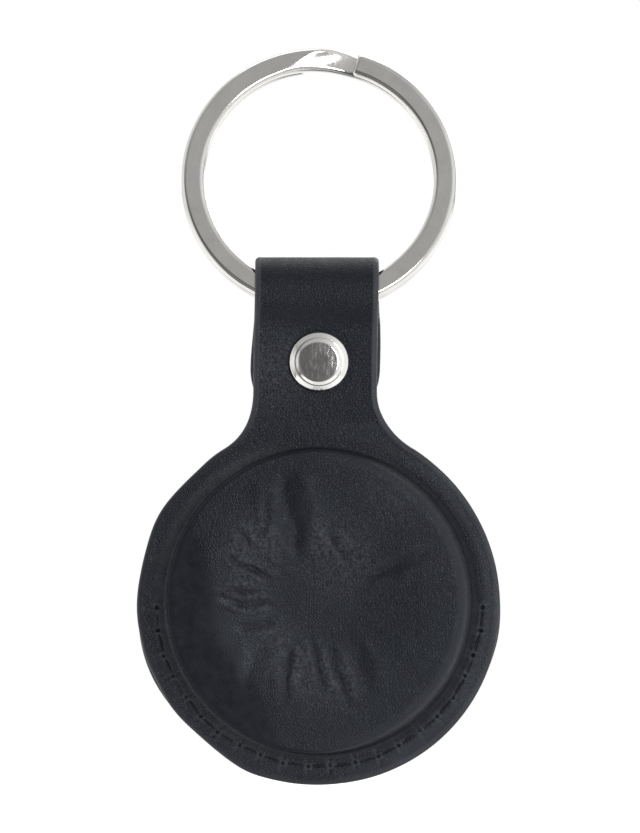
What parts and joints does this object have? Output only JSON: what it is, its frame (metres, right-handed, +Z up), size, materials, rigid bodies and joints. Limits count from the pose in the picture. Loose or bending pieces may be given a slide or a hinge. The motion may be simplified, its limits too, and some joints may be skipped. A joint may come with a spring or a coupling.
{
  "type": "tracker tag holder",
  "caption": "Black leather holder for a coin-shaped tracker tag: a moulded round pocket with a stitched rim and a snapped strap, folded over a flat split key ring.",
  "frame": {"origin": "middle of the split ring's inside top, where it hangs from a hook or on another ring", "axes": "+X to the right as seen from the front, +Y from the pocket's front to its back, +Z up along the strap"},
  "size_m": [0.042, 0.0176, 0.0857],
  "materials": {
    "leather": "smooth satin, fine grain",
    "thread": "waxed thread",
    "nickel": "polished nickel plate",
    "spring_steel": "drawn wire",
    "ring_steel": "polished, lightly scuffed"
  },
  "bodies": {
    "ring": {"split_ring": "ring_steel"},
    "holder": {"front_panel": "leather", "rear_panel": "leather", "front_thread": "thread", "rear_thread": "thread", "snap_cap": "nickel", "snap_socket": "nickel", "socket_spring": "spring_steel"},
    "strap_tail": {"strap_tail": "leather", "snap_stud": "nickel", "snap_post": "nickel"},
    "rear_flap": {"rear_flap": "leather"}
  },
  "joints": [
    {"name": "ring_swing", "type": "hinge", "parent": "ring", "child": "holder", "pos_m": [0, -0.00832, -0.02562], "axis": [1, 0, 0], "range_deg": [-150, 115]},
    {"name": "tail_unsnap", "type": "hinge", "parent": "holder", "child": "strap_tail", "pos_m": [0, -0.00431, -0.02596], "axis": [1, 0, 0], "range_deg": [0, 110], "stiffness_Nm_per_rad": 0.003, "deforming": ["socket_spring"]},
    {"name": "flap_open", "type": "hinge", "parent": "holder", "child": "rear_flap", "pos_m": [0, -0.00508, -0.06106], "axis": [-1, 0, 0], "range_deg": [0, 45], "stiffness_Nm_per_rad": 0.004}
  ]
}
